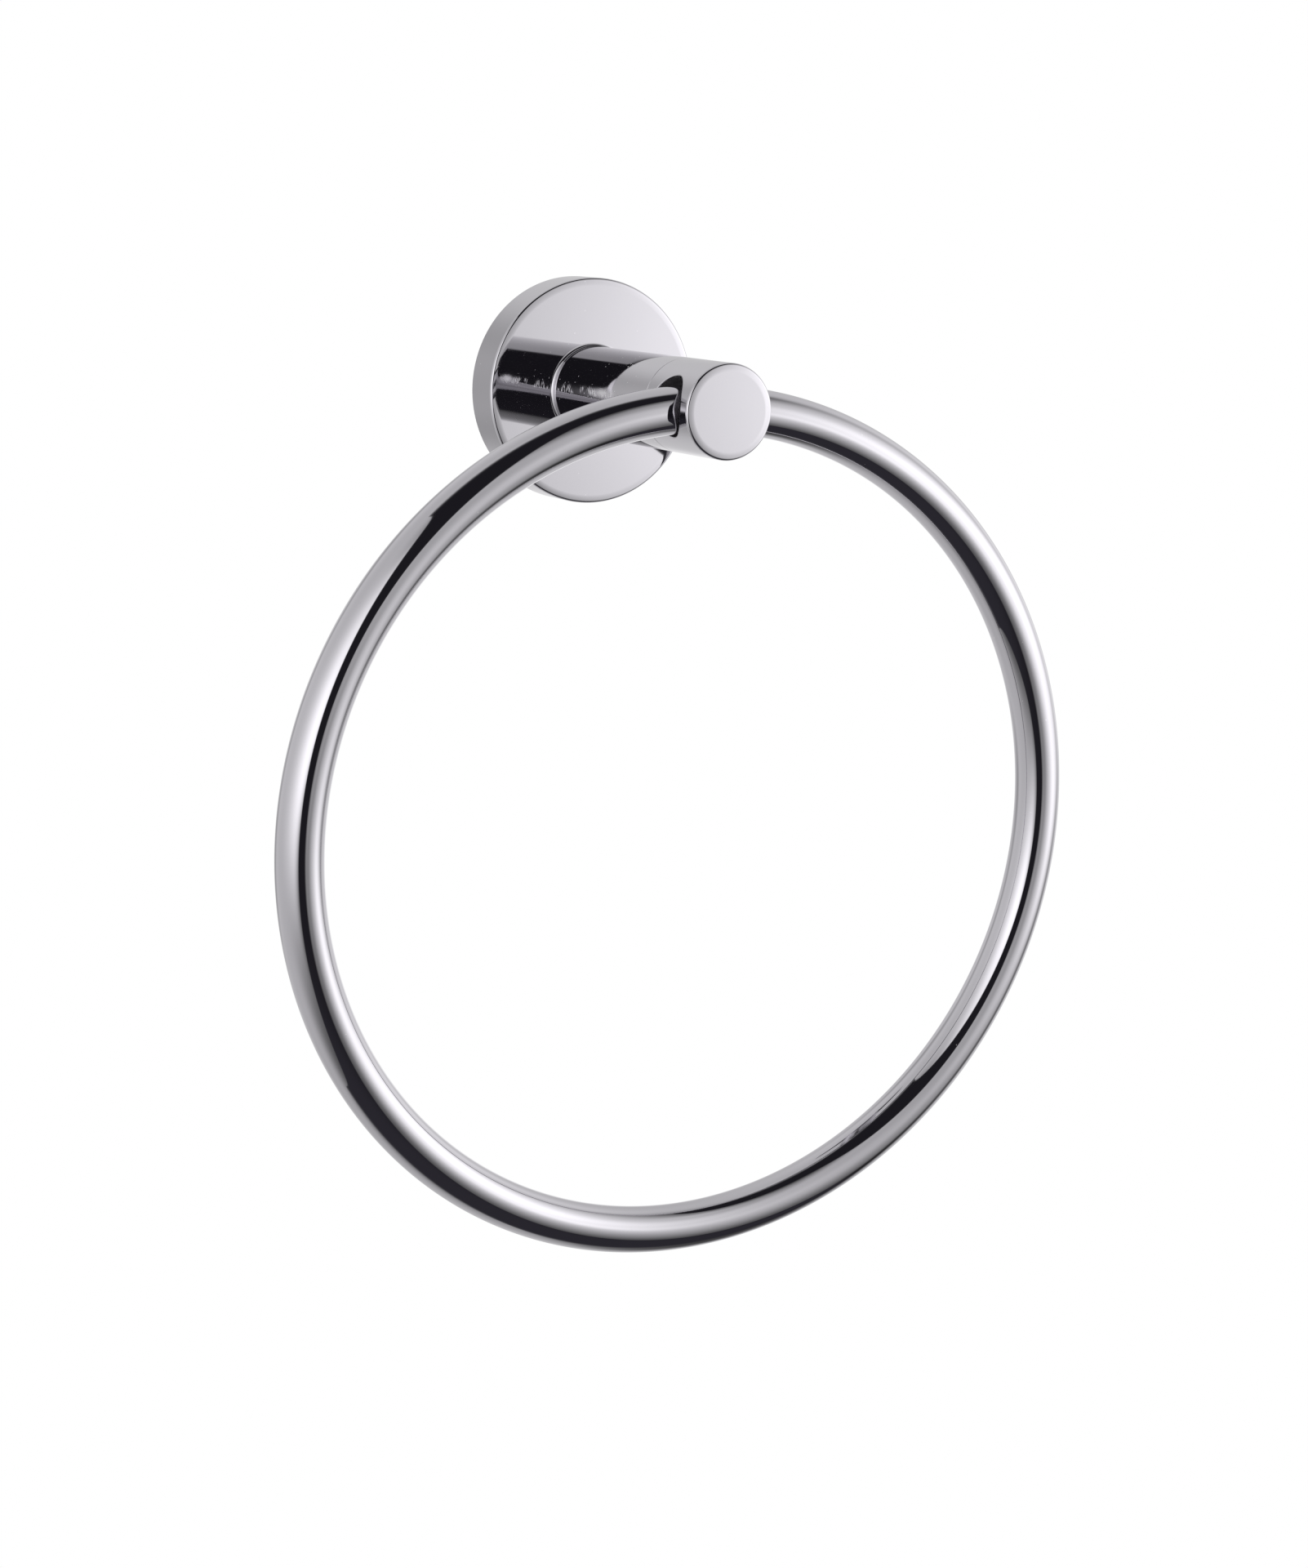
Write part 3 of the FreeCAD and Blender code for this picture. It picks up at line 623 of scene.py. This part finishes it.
def tent_material():
    """Light of the tent by azimuth and elevation. The cloth's glow is the exponential of a sum of
    soft round lobes. The camera looks through the cloth."""
    finish = Finish("light_tent")
    place = finish.node("ShaderNodeTexCoord", output="Object")
    middle = {0: place, 1: TENT_CENTRE}
    away = finish.node("ShaderNodeVectorMath", {"operation": "SUBTRACT"}, middle)
    way = finish.node("ShaderNodeVectorMath", {"operation": "NORMALIZE"}, {0: away})
    x, y, z = finish.node("ShaderNodeSeparateXYZ", {}, {0: way}, output=(0, 1, 2))
    azimuth = x.maths("ARCTAN2", -y) * DEGREES
    elevation = z.maths("ARCSINE") * DEGREES
    above = elevation.maths("GREATER_THAN", 0.0)
    height = elevation.maths("ABSOLUTE")

    def sheet(half_width, top, bottom, top_power, bottom_power):
        """Half width of a sheet with round corners, by elevation. Past its top and bottom it soon
        is less than nothing."""
        least, drop = 1e-9, 60.0
        power = above * (top_power - bottom_power) + bottom_power
        full = (height / (above * (top - bottom) + bottom)) ** power
        width = (1.0 - full).at_least(least) ** (1.0 / power) * half_width
        return width - (full - 1.0).at_least(0.0) * drop

    near_edge = 1.0 - ((azimuth - RIGHT_EDGE) / LEAN_STRETCH).at_least(0.0).at_most(1.0)
    lean = elevation.at_least(0.0) * (RIGHT_LEAN / CLIMB) * near_edge
    left = (sheet(*LEFT_SHEET) - (azimuth + 90.0)).rise(0.0, CLOTH_EDGE)
    right = (sheet(*RIGHT_SHEET) - lean - (90.0 - azimuth)).rise(0.0, CLOTH_EDGE)
    lit = 1.0 - (1.0 - left) * (1.0 - right) * (1.0 - y.rise(*BACK_SHEET))

    glow = BASE_GLOW
    for a, e, wide, high, strength in LOBES:
        turned = (azimuth - (a - 180.0)).maths("FLOORED_MODULO", 360.0)
        glow = turned.bell(180.0, wide) * elevation.bell(e, high) * strength + glow
    climb = elevation / CLIMB
    seam = azimuth.bell(climb * SEAM_LEAN + climb * climb * SEAM_BEND + SEAM_AZIMUTH, SEAM_WIDTH)
    depth = SEAM_DEPTH
    for middle, high, deeper in (SEAM_HIGH, SEAM_LOW):
        depth = elevation.bell(middle, high) * deeper + depth
    light = (glow - seam * depth).exp() * lit
    low = (-elevation).rise(*FLOOR_EDGE)
    shade = (CEILING_SHADE * (1.0 - low) + FLOOR_SHADE * low) * (1.0 - lit)

    scale = {"operation": "SCALE"}
    bright = finish.node("ShaderNodeVectorMath", scale, {0: CLOTH_COLOUR, "Scale": light})
    dark = finish.node("ShaderNodeVectorMath", scale, {0: SHADE_COLOUR, "Scale": shade})
    both = finish.node("ShaderNodeVectorMath", {"operation": "ADD"}, {0: bright, 1: dark})
    camera = finish.node("ShaderNodeLightPath", output="Is Camera Ray")
    cloth = finish.node("ShaderNodeEmission", {}, {"Color": both, "Strength": 1.0})
    clear = finish.node("ShaderNodeBsdfTransparent", {}, {"Color": (1.0, 1.0, 1.0, 1.0)})
    return finish.done(finish.node("ShaderNodeMixShader", {}, {0: camera, 1: cloth, 2: clear}))


def studio_piece(name, points, faces, finish):
    """Mesh of those points and faces with one material, put into the scene."""
    mesh = bpy.data.meshes.new(name)
    mesh.from_pydata(points, [], faces)
    mesh.materials.append(finish)
    made = bpy.data.objects.new(name, mesh)
    bpy.context.collection.objects.link(made)
    return made


def make_tent():
    """Sphere about the tent's middle: R (sin a cos e, -cos a cos e, sin e)."""
    steps = 48
    a, e = np.meshgrid(
        np.linspace(0, FULL, 2 * steps + 1), np.linspace(-QUARTER, QUARTER, steps + 1)
    )
    way = np.stack([np.sin(a) * np.cos(e), -np.cos(a) * np.cos(e), np.sin(e)], -1)
    points = (np.array(TENT_CENTRE) + way * TENT_RADIUS).reshape(-1, 3)
    index = np.arange(a.size).reshape(a.shape)
    quads = np.stack([index[:-1, :-1], index[:-1, 1:], index[1:, 1:], index[1:, :-1]], -1)
    faces = quads.reshape(-1, 4).tolist()
    tent = studio_piece("light_tent", points.tolist(), faces, tent_material())


def make_floor():
    """Pale floor below the tent, white to the camera: a flat square."""
    reach, low = 12.0, -1.0
    corners = [(x * reach, y * reach, low) for x, y in ((-1, -1), (1, -1), (1, 1), (-1, 1))]
    finish = Finish("pale_floor")
    white = (1.0, 1.0, 1.0, 1.0)
    camera = finish.node("ShaderNodeLightPath", output="Is Camera Ray")
    matt = finish.node("ShaderNodeBsdfDiffuse", {}, {"Color": (0.85, 0.85, 0.85, 1.0)})
    plain = finish.node("ShaderNodeEmission", {}, {"Color": white, "Strength": 1.0})
    surface = finish.node("ShaderNodeMixShader", {}, {0: camera, 1: matt, 2: plain})
    floor = studio_piece("pale_floor", corners, [(0, 1, 2, 3)], finish.done(surface))


make_tent()
make_floor()

world = bpy.data.worlds.new("studio")
world.use_nodes = True
world.node_tree.nodes["Background"].inputs["Color"].default_value = (1.0, 1.0, 1.0, 1.0)
world.node_tree.nodes["Background"].inputs["Strength"].default_value = 1.0
bpy.context.scene.world = world


def make_camera():
    """Camera where the photograph was taken from, in millimetres and degrees."""
    azimuth, elevation, roll = map(math.radians, (-28.006, 10.867, 2.039))
    place = Vector((-299.145, -608.128, 39.561)) / 1000
    focal_pixels, long_side, sensor = 3640.96, 1920, 36.0
    back = Vector(
        (
            math.sin(azimuth) * math.cos(elevation),
            -math.cos(azimuth) * math.cos(elevation),
            math.sin(elevation),
        )
    )
    level = Vector((math.cos(azimuth), math.sin(azimuth), 0))
    upright = back.cross(level)
    right = level * math.cos(roll) + upright * math.sin(roll)
    up = upright * math.cos(roll) - level * math.sin(roll)
    data = bpy.data.cameras.new("camera")
    data.sensor_width, data.lens = sensor, focal_pixels / long_side * sensor
    data.clip_start, data.clip_end = 0.01, 20.0
    camera = bpy.data.objects.new("camera", data)
    turned = Matrix((right, up, back)).transposed()
    camera.matrix_world = Matrix.Translation(place) @ turned.to_4x4()
    bpy.context.collection.objects.link(camera)
    bpy.context.scene.camera = camera


make_camera()
bpy.context.scene.view_settings.view_transform = "Standard"

bpy.context.view_layer.update()
